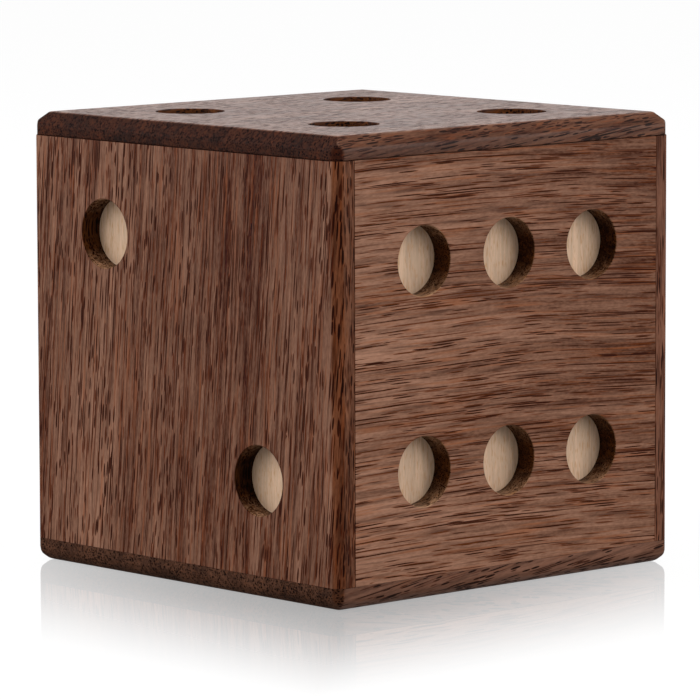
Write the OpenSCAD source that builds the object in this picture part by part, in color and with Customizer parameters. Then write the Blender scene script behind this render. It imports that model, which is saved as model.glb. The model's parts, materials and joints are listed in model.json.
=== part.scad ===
// Dice box shaped as a die: six walnut boards with bored pips round a pale wood
// lining, and a top board that opens as a lid on two brass stop hinges.
// Millimetres. The origin is the centre of the underside, +Z is up, the six-pip
// face looks along -Y, the two-pip face along -X and the hinges are at +Y.

/* [Cube] */
// Outside width, along the six-pip face
box_w = 127; // [115:0.5:150]
// Outside depth, along the two-pip face
box_d = 127; // [115:0.5:150]
// Outside height with the lid shut
box_h = 127; // [110:0.5:150]
// Bevel round the top of the lid
top_bevel = 3.4; // [1:0.1:5]
// Bevel round the underside
bottom_bevel = 3.4; // [1:0.1:5]
// Bevel down each of the four upright corners
corner_bevel = 2.3; // [1:0.1:4]

/* [Boards] */
// Thickness of the four upright walnut boards
wall_t = 6.3; // [6:0.1:8]
// Thickness of the walnut lid board
lid_t = 6.3; // [6:0.1:8]
// Thickness of the walnut bottom board
base_t = 6.3; // [6:0.1:8]
// Thickness of the pale lining round the inside
lining_t = 3.2; // [2.5:0.1:5]
// Thickness of the pale panel under the lid
lid_lining_t = 3.2; // [2:0.1:5]
// Thickness of the pale panel on the floor
floor_lining_t = 3.2; // [2:0.1:5]

/* [Lid fit] */
// Hairline between the lid board and the walls
lid_gap = 0.2; // [0.1:0.05:0.6]
// How far the lid's edge stands back from the walls
lid_inset = 0.2; // [0:0.05:0.6]
// Room all round the panel under the lid
plug_clear = 0.7; // [0.4:0.05:1.5]
// Rounding of the plug panel's lower edge
plug_ease = 0.8; // [0.3:0.1:1.5]

/* [Pips] */
// Diameter of a bored pip
pip_d = 19.2; // [12:0.1:22]
// Distance of a corner pip from the middle of its face, across
pip_across = 31.8; // [26:0.1:36]
// Distance of a corner pip from the middle of its face, up
pip_rise = 31.2; // [26:0.1:36]
// Distance of the six's rows from the middle of its face
six_rise = 28.5; // [24:0.1:34]

/* [Hinges] */
// Distance of each hinge's middle from the end of the back
hinge_inset = 27.5; // [24:0.5:36]
// Length of a hinge
hinge_l = 25; // [20:0.5:30]
// Thickness of a leaf
leaf_t = 1.6; // [1.2:0.1:1.8]
// Wood left between a leaf and the inside of the wall
leaf_inset = 1.5; // [0.8:0.1:3]
// Radius of the knuckles
knuckle_r = 2.0; // [1.9:0.05:2.6]
// Room between the knuckles and the back of the walls
knuckle_room = 0.25; // [0.2:0.05:0.4]
// Length of the middle knuckle, which is the lid's
middle_l = 9; // [6:0.5:12]
// Radius of a hinge pin
pin_r = 0.8; // [0.6:0.05:1.1]
// How far a pin stands out at each end
pin_proud = 0.35; // [0.1:0.05:0.8]
// Gap between the ends of neighbouring knuckles
knuckle_gap = 0.12; // [0.08:0.02:0.3]
// Room round the pin in the lid's knuckle
pin_run = 0.05; // [0.02:0.01:0.08]
// Angle at which the shoulders of the knuckles stop the lid
stop_angle = 95; // [92:1:100]
// Room left at the shoulders when the lid is on its stop
stop_clear = 0.05; // [0.02:0.01:0.1]

/* [Screws] */
// Distance between the two screws of a leaf
screw_pitch = 16; // [13:0.5:18]
// Radius of a screw's shank
screw_r = 0.9; // [0.7:0.05:1.1]
// Radius of a screw's countersunk head
head_r = 1.9; // [1.6:0.05:2.1]
// Length of the screws in the back wall
wall_screw_l = 9; // [6:0.5:14]
// Length of the screws in the lid
lid_screw_l = 4.8; // [4:0.1:5.2]

/* [Magnets] */
// Diameter of a catch magnet
magnet_d = 5; // [3:0.1:5.2]
// Thickness of a catch magnet
magnet_t = 2; // [1:0.1:3]
// Distance of each magnet's middle from the end of the front
magnet_inset = 19.5; // [15:0.5:27]

/* [Hidden] */

walnut = "#5b3a26";
pale_wood = "#d8bf98";
brass = "#b8913f";
nickel = "#c2c3c6";

$fn = 64;
// Overshoot that lets a cutter pass clean through a face
past = 1;
// Room round what is let in and glued: leaves, screws and magnets
let_in = 0.03;

// Levels
wall_top = box_h - lid_t - lid_gap;
lid_bottom = box_h - lid_t;
floor_top = base_t + floor_lining_t;

// Half sizes of the space inside the walnut and inside the lining
room_w = box_w / 2 - wall_t;
room_d = box_d / 2 - wall_t;
hollow_w = room_w - lining_t;
hollow_d = room_d - lining_t;

// Hinge axis, the distance from it to the back of the walls, and each hinge's middle
notch = knuckle_r + knuckle_room;
hinge_x = box_w / 2 - hinge_inset;
axis_y = box_d / 2 + notch;
axis_z = wall_top + lid_gap / 2;
leaf_w = wall_t + lining_t - leaf_inset;
outer_l = (hinge_l - middle_l) / 2 - knuckle_gap;
// Share of a leaf's thickness that the stop shoulders meet, and their eased ends
shoulder_share = 0.85;
shoulder_ease = 0.2;
screw_y = box_d / 2 - wall_t / 2;
magnet_x = box_w / 2 - magnet_inset;
magnet_y = -box_d / 2 + wall_t / 2;
// Slot across a screw's head
slot_w = 0.5;
slot_depth = 0.45;

// Pips of each face, as places across and up from its middle
one = [[0, 0]];
two = [[pip_across, pip_rise], [-pip_across, -pip_rise]];
four = [for (a = [-1, 1], u = [-1, 1]) [a * pip_across, u * pip_across]];
six = [for (a = [-1, 0, 1], u = [-1, 1]) [a * pip_across, u * six_rise]];
three = concat(one, [[-pip_across, -pip_across], [pip_across, pip_across]]);
five = concat(one, two, [for (p = two) [-p.x, p.y]]);

// Square with its corners cut off
module cut_square(w, d, c) {
    polygon([
        [-w / 2 + c, -d / 2], [w / 2 - c, -d / 2], [w / 2, -d / 2 + c], [w / 2, d / 2 - c],
        [w / 2 - c, d / 2], [-w / 2 + c, d / 2], [-w / 2, d / 2 - c], [-w / 2, -d / 2 + c]
    ]);
}

// Upright outline whose foot and head are cut at 45 degrees
module cut_side(w, h, foot, head) {
    polygon([
        [-w / 2 + foot, 0], [w / 2 - foot, 0], [w / 2, foot], [w / 2, h - head],
        [w / 2 - head, h], [-w / 2 + head, h], [-w / 2, h - head], [-w / 2, foot]
    ]);
}

// Outside of the whole cube with every bevel on it
module bevelled_cube(w, d) {
    intersection() {
        linear_extrude(box_h) cut_square(w, d, corner_bevel);
        rotate([90, 0, 0])
            linear_extrude(d, center = true) cut_side(w, box_h, bottom_bevel, top_bevel);
        rotate([90, 0, 90])
            linear_extrude(w, center = true) cut_side(d, box_h, bottom_bevel, top_bevel);
    }
}

// Block between two corners
module block(low, high) {
    translate(low) cube(high - low);
}

// Bores for pips, in the plane of the face that they are on
module bores(places, depth) {
    for (p = places)
        translate([p.x, p.y, -depth - past]) cylinder(d = pip_d, h = depth + 2 * past);
}

// Turns a flat layout to each face of the cube
module on_front() { translate([0, -box_d / 2, box_h / 2]) rotate([90, 0, 0]) children(); }
module on_back() { translate([0, box_d / 2, box_h / 2]) rotate([90, 0, 180]) children(); }
module on_left() { translate([-box_w / 2, 0, box_h / 2]) rotate([90, 0, -90]) children(); }
module on_right() { translate([box_w / 2, 0, box_h / 2]) rotate([90, 0, 90]) children(); }
module on_top() { translate([0, 0, box_h]) children(); }
module on_bottom() { rotate([180, 0, 0]) children(); }

// Both hinges, each about its own middle on the hinge axis
module at_hinge(side) { translate([side * hinge_x, axis_y, axis_z]) children(); }
module at_hinges() { for (side = [-1, 1]) at_hinge(side) children(); }

// Recess for a leaf, above or below the joint
module leaf_recess(up) {
    length = hinge_l + 2 * let_in;
    low = up ? lid_gap / 2 - past : -lid_gap / 2 - leaf_t;
    at_hinges()
        translate([-length / 2, -notch - leaf_w - let_in, low])
            cube([length, leaf_w + let_in + notch - knuckle_r / 2, leaf_t + past]);
}

// Places of the two screws of a leaf, on the joint
module at_screws() {
    at_hinges()
        for (end = [-1, 1])
            translate([end * screw_pitch / 2, screw_y - axis_y, 0]) children();
}

// Countersunk slotted screw, its head flush with z = 0 and its point down
module screw(length) {
    head_h = head_r - screw_r;
    difference() {
        union() {
            translate([0, 0, -head_h]) cylinder(r1 = screw_r, r2 = head_r, h = head_h);
            translate([0, 0, -length + screw_r]) cylinder(r = screw_r, h = length - screw_r - head_h);
            translate([0, 0, -length]) cylinder(r1 = screw_r / 3, r2 = screw_r, h = screw_r);
        }
        translate([-head_r, -slot_w / 2, -slot_depth]) cube([2 * head_r, slot_w, slot_depth + past]);
    }
}

// Room that a screw takes in the leaf and in the wood
module screw_room(length) {
    head_h = head_r - screw_r;
    translate([0, 0, -head_h])
        cylinder(r1 = screw_r + let_in, r2 = head_r + let_in, h = head_h);
    translate([0, 0, -length - let_in]) cylinder(r = screw_r + let_in, h = length);
    cylinder(r = head_r + let_in, h = past);
}

// One end-to-end slice of a leaf: its knuckle, its plate and its stop shoulder
module knuckle(length) {
    reach = notch - stop_clear;
    translate([-length / 2, 0, 0]) {
        rotate([0, 90, 0]) cylinder(r = knuckle_r, h = length);
        translate([0, -notch - leaf_t, -lid_gap / 2 - leaf_t]) cube([length, notch + leaf_t, leaf_t]);
        translate([shoulder_ease, 0, 0])
            rotate([90 - stop_angle, 0, 0])
                cube([length - 2 * shoulder_ease, leaf_t * shoulder_share, reach]);
    }
}

// Leaf in the wall, or turned over, the leaf in the lid
module leaf(knuckles, bore_r, screw_l) {
    difference() {
        union() {
            translate([-hinge_l / 2, -notch - leaf_w, -lid_gap / 2 - leaf_t])
                cube([hinge_l, leaf_w, leaf_t]);
            for (k = knuckles) translate([k[0], 0, 0]) knuckle(k[1]);
        }
        rotate([0, 90, 0]) cylinder(r = bore_r, h = hinge_l + 2 * past, center = true);
        for (end = [-1, 1])
            translate([end * screw_pitch / 2, screw_y - axis_y, -lid_gap / 2]) screw_room(screw_l);
    }
}

outer_x = hinge_l / 2 - outer_l / 2;

module box_leaf() {
    leaf([[-outer_x, outer_l], [outer_x, outer_l]], pin_r + let_in, wall_screw_l);
}

module lid_leaf() {
    mirror([0, 0, 1]) leaf([[0, middle_l]], pin_r + pin_run, lid_screw_l);
}

// Pin with eased ends
module hinge_pin() {
    half = hinge_l / 2 + pin_proud;
    ease = pin_r / 3;
    rotate([0, 90, 0])
        rotate_extrude()
            polygon([
                [0, -half], [pin_r - ease, -half], [pin_r, -half + ease],
                [pin_r, half - ease], [pin_r - ease, half], [0, half]
            ]);
}

// Places of the catch magnets, in the middle of the front wall's edge
module at_magnets() {
    for (side = [-1, 1])
        translate([side * magnet_x, magnet_y, 0]) children();
}

// Walnut boards
module bottom_board() {
    color(walnut) difference() {
        intersection() {
            bevelled_cube(box_w, box_d);
            block([-box_w, -box_d, -past], [box_w, box_d, base_t]);
        }
        on_bottom() bores(three, base_t);
    }
}

module front_board() {
    color(walnut) difference() {
        intersection() {
            bevelled_cube(box_w, box_d);
            block([-room_w, -box_d, base_t], [room_w, -room_d, wall_top]);
        }
        on_front() bores(six, wall_t);
        at_magnets() translate([0, 0, wall_top - magnet_t - let_in])
            cylinder(d = magnet_d + 2 * let_in, h = magnet_t + past);
    }
}

module back_board() {
    color(walnut) difference() {
        intersection() {
            bevelled_cube(box_w, box_d);
            block([-room_w, room_d, base_t], [room_w, box_d, wall_top]);
        }
        on_back() bores(one, wall_t);
        leaf_recess(false);
        at_screws() translate([0, 0, -lid_gap / 2]) screw_room(wall_screw_l);
    }
}

module left_board() {
    color(walnut) difference() {
        intersection() {
            bevelled_cube(box_w, box_d);
            block([-box_w, -box_d, base_t], [-room_w, box_d, wall_top]);
        }
        on_left() bores([for (p = two) [-p.x, p.y]], wall_t);
    }
}

module right_board() {
    color(walnut) difference() {
        intersection() {
            bevelled_cube(box_w, box_d);
            block([room_w, -box_d, base_t], [box_w, box_d, wall_top]);
        }
        on_right() bores(five, wall_t);
    }
}

module lid_board() {
    color(walnut) difference() {
        intersection() {
            bevelled_cube(box_w - 2 * lid_inset, box_d - 2 * lid_inset);
            block([-box_w, -box_d, lid_bottom], [box_w, box_d, box_h + past]);
        }
        on_top() bores(four, lid_t);
        leaf_recess(true);
        at_screws() translate([0, 0, lid_gap / 2]) mirror([0, 0, 1]) screw_room(lid_screw_l);
        at_magnets() translate([0, 0, lid_bottom - past])
            cylinder(d = magnet_d + 2 * let_in, h = magnet_t + let_in + past);
    }
}

// Pale lining
module floor_lining() {
    color(pale_wood) block([-hollow_w, -hollow_d, base_t], [hollow_w, hollow_d, floor_top]);
}

module front_lining() {
    color(pale_wood) block([-room_w, -room_d, base_t], [room_w, -hollow_d, wall_top]);
}

module back_lining() {
    color(pale_wood) difference() {
        block([-room_w, hollow_d, base_t], [room_w, room_d, wall_top]);
        leaf_recess(false);
    }
}

module left_lining() {
    color(pale_wood) block([-room_w, -hollow_d, base_t], [-hollow_w, hollow_d, wall_top]);
}

module right_lining() {
    color(pale_wood) block([hollow_w, -hollow_d, base_t], [room_w, hollow_d, wall_top]);
}

// Panel under the lid, which drops between the linings; its lower edge is eased
module lid_lining() {
    w = 2 * (hollow_w - plug_clear);
    d = 2 * (hollow_d - plug_clear);
    color(pale_wood) translate([0, 0, lid_bottom - lid_lining_t])
        intersection() {
            rotate([90, 0, 0])
                linear_extrude(d, center = true) cut_side(w, lid_lining_t, plug_ease, 0);
            rotate([90, 0, 90])
                linear_extrude(w, center = true) cut_side(d, lid_lining_t, plug_ease, 0);
        }
}

// Hinges
module left_hinge_box_leaf() { color(brass) at_hinge(-1) box_leaf(); }
module right_hinge_box_leaf() { color(brass) at_hinge(1) box_leaf(); }
module left_hinge_lid_leaf() { color(brass) at_hinge(-1) lid_leaf(); }
module right_hinge_lid_leaf() { color(brass) at_hinge(1) lid_leaf(); }
module left_hinge_pin() { color(brass) at_hinge(-1) hinge_pin(); }
module right_hinge_pin() { color(brass) at_hinge(1) hinge_pin(); }

module wall_screws() {
    color(brass) at_screws() translate([0, 0, -lid_gap / 2]) screw(wall_screw_l);
}

module lid_screws() {
    color(brass) at_screws() translate([0, 0, lid_gap / 2]) mirror([0, 0, 1]) screw(lid_screw_l);
}

// Catch magnets, flush with the wall's edge and with the lid's underside
module wall_magnets() {
    color(nickel) at_magnets() translate([0, 0, wall_top - magnet_t])
        cylinder(d = magnet_d, h = magnet_t);
}

module lid_magnets() {
    color(nickel) at_magnets() translate([0, 0, lid_bottom]) cylinder(d = magnet_d, h = magnet_t);
}

bottom_board();
front_board();
back_board();
left_board();
right_board();
floor_lining();
front_lining();
back_lining();
left_lining();
right_lining();
left_hinge_box_leaf();
right_hinge_box_leaf();
left_hinge_pin();
right_hinge_pin();
wall_screws();
wall_magnets();
lid_board();
lid_lining();
left_hinge_lid_leaf();
right_hinge_lid_leaf();
lid_screws();
lid_magnets();
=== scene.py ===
"""Looks of the walnut dice box: boards, lining, hinges, screws, magnets and stage."""
from functools import partial
import json
import math

import bmesh
import bpy
from bpy.props import FloatProperty, FloatVectorProperty, PointerProperty
from mathutils import Matrix, Vector


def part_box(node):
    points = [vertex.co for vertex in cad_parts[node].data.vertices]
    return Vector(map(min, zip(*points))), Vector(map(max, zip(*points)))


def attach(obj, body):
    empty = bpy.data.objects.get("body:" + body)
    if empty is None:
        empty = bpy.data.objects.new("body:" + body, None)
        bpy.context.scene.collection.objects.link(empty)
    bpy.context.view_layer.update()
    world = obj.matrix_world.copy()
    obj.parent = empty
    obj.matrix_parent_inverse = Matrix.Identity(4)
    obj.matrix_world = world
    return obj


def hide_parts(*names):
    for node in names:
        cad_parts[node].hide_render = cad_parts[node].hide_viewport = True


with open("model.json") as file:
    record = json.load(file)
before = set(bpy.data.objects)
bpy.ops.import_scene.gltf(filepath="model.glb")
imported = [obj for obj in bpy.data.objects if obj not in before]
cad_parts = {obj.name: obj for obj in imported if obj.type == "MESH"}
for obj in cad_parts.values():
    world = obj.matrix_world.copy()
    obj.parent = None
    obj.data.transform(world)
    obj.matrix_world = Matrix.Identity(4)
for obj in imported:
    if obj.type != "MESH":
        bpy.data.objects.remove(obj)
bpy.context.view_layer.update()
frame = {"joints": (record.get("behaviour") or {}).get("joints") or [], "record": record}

bl_info = {
    "name": "Walnut dice box",
    "version": (1, 0, 0),
    "blender": (4, 5, 0),
    "location": "View3D > Sidebar > Dice box",
    "description": "Dresses the packed dice box in walnut, maple and brass",
    "category": "Object",
}

MM = 0.001

# The cube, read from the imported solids
BASE_LOW, BASE_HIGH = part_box("bottom_board")
LID_LOW, LID_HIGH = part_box("lid_board")
WALL_LOW, WALL_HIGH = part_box("left_board")
WIDTH = BASE_HIGH.x - BASE_LOW.x
DEPTH = BASE_HIGH.y - BASE_LOW.y
HEIGHT = LID_HIGH.z
WALL = WALL_HIGH.x - WALL_LOW.x
LID = LID_HIGH.z - LID_LOW.z
BASE = BASE_HIGH.z
HINGE = Vector(frame["joints"][0]["pos_m"])
BODY_OF = {node: body for body, nodes in frame["record"]["behaviour"]["bodies"].items() for node in nodes}

# Camera, worked out from the corners and pips seen in the photograph
CAMERA_PLACE = Vector((-8.0248, -8.7088, 1.9103)) * WIDTH
CAMERA_YAW = -0.7443
CAMERA_PITCH = -0.1210
CAMERA_ROLL = -0.0028
FOCAL_PIXELS = 5389.4
IMAGE_PIXELS = 700
SENSOR = 36.0
CLIP_END = 20.0

# Room round let-in hardware, drop of the lid's underside that narrows the joint, and overrun of a cutter
LET_IN = 0.03 * MM
LID_SEAT = 0.1 * MM
PAST = 1 * MM

# How near a point lies to a cutting plane, or a face to the outside of the cube
TOUCHING = 1e-7
ON_PLANE = 1e-5

# Sides of the turned solids
BORE_SIDES = 96
KNUCKLE_SIDES = 64
METAL_SIDES = 48
SCREW_SIDES = 24


def linear(code):
    """sRGB hex to linear RGBA."""
    parts = [int(code[i:i + 2], 16) / 255 for i in (1, 3, 5)]
    flat = [c / 12.92 if c <= 0.04045 else ((c + 0.055) / 1.055) ** 2.4 for c in parts]
    return (*flat, 1.0)


def add(tree, kind, feeds=(), operation=None, **settings):
    """Adds a node with its settings, its values and its links. The feeds are in the order of the inputs,
    or by name or number, and a node among them stands for its first output."""
    node = tree.nodes.new(kind if kind.startswith(("NodeGroup", "GeometryNode")) else "ShaderNode" + kind)
    if operation:
        node.operation = operation
    for key, value in settings.items():
        setattr(node, key, value)
    for socket, value in dict(feeds if isinstance(feeds, dict) else enumerate(feeds)).items():
        if isinstance(value, bpy.types.Node):
            value = value.outputs[0]
        if isinstance(value, bpy.types.NodeSocket):
            tree.links.new(value, node.inputs[socket])
        else:
            node.inputs[socket].default_value = value
    return node


def new_material(name):
    """A material with an empty node tree, and the function that adds a node to it."""
    material = bpy.data.materials.new(name)
    material.use_nodes = True
    material.node_tree.nodes.clear()
    return material, partial(add, material.node_tree)


# Sizes and colours that a user would change

class DiceBoxSizes(bpy.types.PropertyGroup):
    pip_diameter: FloatProperty(
        name="Pip diameter", description="Diameter of a bored pip",
        default=19.2 * MM, min=5 * MM, max=25 * MM, unit="LENGTH")
    pip_across: FloatProperty(
        name="Pip offset across", description="Corner pip from the middle of its face, across",
        default=31.8 * MM, unit="LENGTH")
    pip_rise: FloatProperty(
        name="Pip offset up", description="Corner pip from the middle of its face, up",
        default=31.2 * MM, unit="LENGTH")
    six_rise: FloatProperty(
        name="Six row offset", description="Rows of the six from the middle of its face",
        default=28.5 * MM, unit="LENGTH")
    mouth_round: FloatProperty(
        name="Mouth rounding", description="Sanded rounding of a pip's mouth",
        default=0.3 * MM, min=0.05 * MM, max=1 * MM, unit="LENGTH")
    top_bevel: FloatProperty(
        name="Top bevel", description="Bevel round the lid", default=3.4 * MM, unit="LENGTH")
    bottom_bevel: FloatProperty(
        name="Bottom bevel", description="Bevel round the underside", default=2.8 * MM, unit="LENGTH")
    corner_bevel: FloatProperty(
        name="Corner bevel", description="Bevel down the upright corners",
        default=2.3 * MM, unit="LENGTH")
    arris: FloatProperty(
        name="Arris rounding", description="Sanding of the outer edges",
        default=0.7 * MM, min=0.05 * MM, max=1.3 * MM, unit="LENGTH")
    foot_round: FloatProperty(
        name="Foot rounding", description="Sanding of the edges round the underside",
        default=1.3 * MM, min=0.05 * MM, max=1.5 * MM, unit="LENGTH")
    joint_share: FloatProperty(
        name="Joint edge share", description="Rounding of the edges at the joints, as a share",
        default=0.25, min=0.0, max=1.0, subtype="FACTOR")
    lid_ease: FloatProperty(
        name="Plug easing", description="Bevel under the panel that drops into the box",
        default=0.8 * MM, min=0.1 * MM, max=2 * MM, unit="LENGTH")
    leaf: FloatProperty(
        name="Leaf thickness", description="Thickness of a hinge leaf", default=1.6 * MM, unit="LENGTH")
    middle_knuckle: FloatProperty(
        name="Middle knuckle", description="Length of the lid's knuckle", default=9 * MM, unit="LENGTH")
    knuckle_gap: FloatProperty(
        name="Knuckle gap", description="Gap between neighbouring knuckles", default=0.12 * MM, unit="LENGTH")
    stop_angle: FloatProperty(
        name="Stop angle", description="Angle at which the knuckles' shoulders meet",
        default=math.radians(95), subtype="ANGLE")
    screw_pitch: FloatProperty(
        name="Screw pitch", description="Distance between the two screws of a leaf",
        default=16 * MM, unit="LENGTH")
    screw_head: FloatProperty(
        name="Screw head", description="Radius of a hinge screw's head",
        default=1.9 * MM, unit="LENGTH")
    screw_shank: FloatProperty(
        name="Screw shank", description="Radius of a hinge screw's shank",
        default=0.9 * MM, unit="LENGTH")
    thread: FloatProperty(
        name="Thread pitch", description="Rise of a screw's thread in one turn",
        default=0.8 * MM, min=0.4 * MM, max=2 * MM, unit="LENGTH")


class DiceBoxColours(bpy.types.PropertyGroup):
    walnut_tint: FloatVectorProperty(
        name="Walnut tint", description="Stain over all the walnut; white leaves it oiled only",
        default=(1.0, 1.0, 1.0, 1.0), min=0.0, max=1.0, size=4, subtype="COLOR")
    maple: FloatVectorProperty(
        name="Maple", description="Pale lining behind the pips",
        default=linear("#d4b294"), size=4, subtype="COLOR")
    brass: FloatVectorProperty(
        name="Brass", description="Polished hinges and screws",
        default=linear("#d6b878"), size=4, subtype="COLOR")


def sizes():
    """The sizes set in the sidebar."""
    return bpy.context.scene.dice_box_sizes


def colours():
    """The colours set in the sidebar."""
    return bpy.context.scene.dice_box_colours


# Node groups and materials
# Walnut's pores are about 0.2 mm across, too fine for the picture, so they are drawn about half as wide again

# Solid share of a dash, and how softly the dashes die out where they are rare
DASH_CORE = 0.8
RARE_FADE = 0.15
# The part of the range from 0 to 1 that noise fills, and a tighter part that brings out its contrast
NOISE_RANGE = (0.3, 0.7)
NOISE_CORE = (0.28, 0.72)


def dash_layer(put, grain, length, width, radius, density):
    """Spindle-shaped dashes, at most one in each cell of a stretched grid. The density is the share of cells
    that have one. Sizes run from 0.7 to 1.1 of the radius and depths from 0.55 to 1."""
    per_length = put("Math", (1.0, length), "DIVIDE")
    per_width = put("Math", (1.0, width), "DIVIDE")
    scale = put("CombineXYZ", (per_length, per_width, per_width))
    place = put("VectorMath", (grain, scale), "MULTIPLY")
    cells = put("TexVoronoi", {"Vector": place, "Scale": 1.0}, voronoi_dimensions="3D").outputs
    chance = put("SeparateXYZ", (cells["Color"],)).outputs
    size = put("Math", (chance[0], 0.4, 0.7), "MULTIPLY_ADD")
    size = put("Math", (size, radius), "MULTIPLY")
    core = put("Math", (size, DASH_CORE), "MULTIPLY")
    dash = put("MapRange", (cells["Distance"], size, core))
    spare = put("Math", (density, chance[2]), "SUBTRACT")
    shown = put("MapRange", (spare, 0.0, RARE_FADE))
    depth = put("Math", (chance[1], 0.45, 0.55), "MULTIPLY_ADD")
    depth = put("Math", (depth, shown), "MULTIPLY")
    return put("Math", (dash, depth), "MULTIPLY")


def streaks(put, vector, length, width, detail=2.0, rough=0.5):
    """Noise about length by width millimetres along and across the grain."""
    scale = (1 / length, 1 / width, 1 / width)
    place = put("VectorMath", (vector, scale), "MULTIPLY")
    return put("TexNoise", {"Vector": place, "Scale": 1.0, "Detail": detail, "Roughness": rough})


def stretched_noise(put, grain, length, width, detail=2.0, rough=0.5):
    """Streaks spread over 0 to 1."""
    return put("MapRange", (streaks(put, grain, length, width, detail, rough), *NOISE_CORE))


def shifted(put, level, tones):
    """The level moved by each tone about its middle, as far as the tone's contrast."""
    for tone, contrast in tones:
        shift = put("Math", (tone, 0.5), "SUBTRACT")
        level = put("Math", (shift, contrast, level), "MULTIPLY_ADD")
    return level


# Figure of a plain board; lengths and widths are in millimetres
WOOD_INPUTS = {
    "Wave": 2.2, "Curve": 0.0, "Band width": 11.0, "Band contrast": 0.9, "Stripe contrast": 0.7,
    "Fibre contrast": 0.3, "Fleck contrast": 0.35, "Fall along": 0.0, "Fall across": 0.0,
    "Shadow contrast": 0.6, "Pore length": 7.0, "Pore width": 0.8, "Pore size": 0.44, "Pore density": 0.62,
    "Line length": 20.0, "Line width": 0.66, "Line size": 0.44, "Line density": 0.65,
    "Ring contrast": 0.6, "Cluster contrast": 0.8,
}
PALETTE = ("Light", "Dark", "Warm", "Rust", "Pore")


def wood_group():
    """Walnut in the solid. The vector is in millimetres: X along the grain, Y across, Z through."""
    name = "walnut_wood"
    if name in bpy.data.node_groups:
        return bpy.data.node_groups[name]
    tree = bpy.data.node_groups.new(name, "ShaderNodeTree")
    put = partial(add, tree)
    face = tree.interface
    for key in ("Grain", "Seed"):
        face.new_socket(key, in_out="INPUT", socket_type="NodeSocketVector")
    for key, value in WOOD_INPUTS.items():
        face.new_socket(key, in_out="INPUT", socket_type="NodeSocketFloat").default_value = value
    for key in PALETTE:
        face.new_socket(key, in_out="INPUT", socket_type="NodeSocketColor")
    for key, kind in (("Color", "Color"), ("Pores", "Float"), ("Height", "Float")):
        face.new_socket(key, in_out="OUTPUT", socket_type="NodeSocket" + kind)
    given = put("NodeGroupInput").outputs
    start = put("SeparateXYZ", (given["Grain"],)).outputs
    # The grain bows across the board, and wanders
    square = put("Math", (start[0], start[0]), "MULTIPLY")
    bow = put("Math", (square, given["Curve"]), "MULTIPLY")
    bow = put("CombineXYZ", {1: bow})
    placed = put("VectorMath", (given["Grain"], given["Seed"]), "ADD")
    bend = streaks(put, placed, 70.0, 24.0, 2.0, 0.45)
    push = put("VectorMath", (bend.outputs["Color"], (0.5, 0.5, 0.5)), "SUBTRACT")
    flat = put("VectorMath", (push, (0.0, 1.0, 1.0)), "MULTIPLY")
    sway = put("VectorMath", {0: flat, "Scale": given["Wave"]}, "SCALE")
    sway = put("VectorMath", (sway, bow), "ADD")
    grain = put("VectorMath", (placed, sway), "ADD")
    # Tone: growth bands, stripes, fibres and flecks, and a slow fall from one edge to the other
    per_band = put("Math", (1.0, given["Band width"]), "DIVIDE")
    band_scale = put("CombineXYZ", (1 / 200, per_band, per_band))
    banded = put("VectorMath", (grain, band_scale), "MULTIPLY")
    tones = [
        (stretched_noise(put, banded, 1.0, 1.0, 3.0), given["Band contrast"]),
        (stretched_noise(put, grain, 45.0, 1.7, 2.0, 0.55), given["Stripe contrast"]),
        (stretched_noise(put, grain, 14.0, 0.42, 1.0), given["Fibre contrast"]),
        (stretched_noise(put, grain, 1.8, 0.5, 1.0, 0.6), given["Fleck contrast"]),
    ]
    level = put("Math", (start[0], given["Fall along"], 0.5), "MULTIPLY_ADD")
    level = put("Math", (start[1], given["Fall across"], level), "MULTIPLY_ADD")
    level = put("Clamp", (shifted(put, level, tones), -0.4, 1.4))
    color = put("Mix", {0: level, 6: given["Dark"], 7: given["Light"]},
                data_type="RGBA", clamp_factor=False).outputs[2]
    warmth = stretched_noise(put, grain, 30.0, 0.8)
    warmth = put("MapRange", (warmth, 0.6, 0.95, 0.0, 0.55))
    # Soft dark streaks round the pores
    cluster = stretched_noise(put, grain, 20.0, 1.2, 2.0, 0.6)
    shadow = put("MapRange", (cluster, 0.45, 0.95))
    shadow = put("Math", (shadow, given["Shadow contrast"]), "MULTIPLY")
    # Open pores, larger and closer in some rings than in others
    ring = stretched_noise(put, grain, 80.0, 4.5)
    zone = shifted(put, 0.0, ((ring, given["Ring contrast"]), (cluster, given["Cluster contrast"])))
    pores = 0.0
    for kind, longer, wider in (("Pore", 1.0, 1.0), ("Line", 1.0, 1.0), ("Line", 2.4, 0.85)):
        density = put("Math", (zone, given[kind + " density"]), "ADD")
        length = put("Math", (given[kind + " length"], longer), "MULTIPLY")
        width = put("Math", (given[kind + " width"], wider), "MULTIPLY")
        dashes = dash_layer(put, grain, length, width, given[kind + " size"], density)
        pores = put("Math", (pores, dashes), "MAXIMUM")
    # A shallow pore shows rust brown, a deep one is nearly black
    shallow = put("MapRange", (pores, 0.0, 0.5, 0.0, 0.85))
    deep = put("MapRange", (pores, 0.4, 0.8))
    for share, key in ((warmth, "Warm"), (shadow, "Pore"), (shallow, "Rust"), (deep, "Pore")):
        color = put("Mix", {0: share, 6: color, 7: given[key]}, data_type="RGBA").outputs[2]
    height = put("Math", (tones[2][0], 0.3), "MULTIPLY")
    height = put("Math", (height, pores), "SUBTRACT")
    put("NodeGroupOutput", {"Color": color, "Pores": pores, "Height": height})
    return tree


# Object axes that lie along, across and through the grain
GRAIN_UP = (2, 1, 0)
GRAIN_ALONG_X = (0, 2, 1)
GRAIN_ALONG_X_FLAT = (0, 1, 2)


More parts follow.
